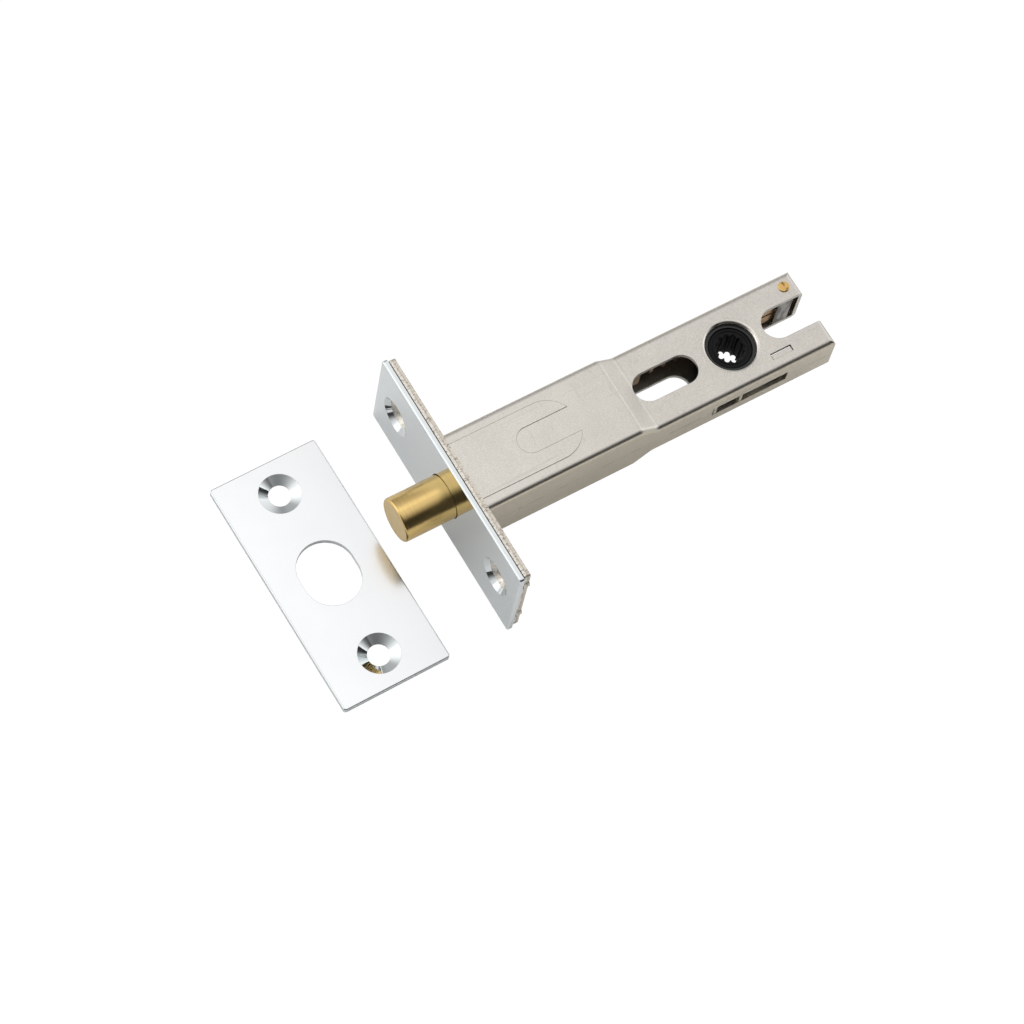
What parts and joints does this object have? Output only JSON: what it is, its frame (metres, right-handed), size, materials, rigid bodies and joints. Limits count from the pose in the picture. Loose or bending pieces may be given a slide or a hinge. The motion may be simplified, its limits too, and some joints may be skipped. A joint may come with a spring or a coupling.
{
  "type": "tubular mortice bolt",
  "caption": "Mortice door bolt: a round brass bolt slid by a splined key hub in a stepped pressed case, behind a polished forend, with a loose matching strike plate.",
  "frame": {"origin": "centre of the forend's front face, on the bolt's axis", "axes": "+X runs back along the case, against the bolt's throw; +Y along the forend's long side; +Z out of the case's broad top face, along the splined hub's axis"},
  "size_m": [0.1303, 0.0569, 0.0254],
  "materials": {
    "polished_chrome": "polished chrome plate",
    "sheared_nickel": "nickel plated steel with sheared edges",
    "satin_nickel": "satin nickel plated pressed steel",
    "sintered_bronze": "sintered bronze, matt",
    "black_nylon": "moulded nylon, low sheen",
    "black_acetal": "moulded acetal",
    "turned_brass": "turned brass with fine tool lines",
    "rolled_brass": "rolled brass strip, dull",
    "zinc_steel": "zinc plated steel",
    "spring_bronze": "phosphor bronze spring strip",
    "rivet_brass": "brass, peened"
  },
  "bodies": {
    "lock_case": {"outer_forend": "polished_chrome", "inner_forend": "sheared_nickel", "upper_case": "satin_nickel", "lower_case": "satin_nickel", "front_guide": "sintered_bronze", "upper_hub_bush": "black_acetal", "lower_hub_bush": "black_acetal", "detent_spring": "spring_bronze", "rear_rivet": "rivet_brass", "strike_plate": "polished_chrome"},
    "bolt": {"bolt_rod": "turned_brass", "upper_rack_plate": "rolled_brass", "lower_rack_plate": "rolled_brass", "link_pin": "zinc_steel", "plate_studs": "zinc_steel"},
    "hub": {"splined_hub": "black_nylon"}
  },
  "joints": [
    {"name": "bolt_slide", "type": "slide", "parent": "lock_case", "child": "bolt", "axis": [1, 0, 0], "range_m": [0, 0.012], "deforming": ["detent_spring"]},
    {"name": "hub_turn", "type": "hinge", "parent": "lock_case", "child": "hub", "pos_m": [0.07, 0, 0], "axis": [0, 0, 1], "range_deg": [-114.7, 0.2]}
  ],
  "couplings": [
    {"joint": "hub_turn", "follows": "bolt_slide", "rad_per_m": -166.67}
  ]
}
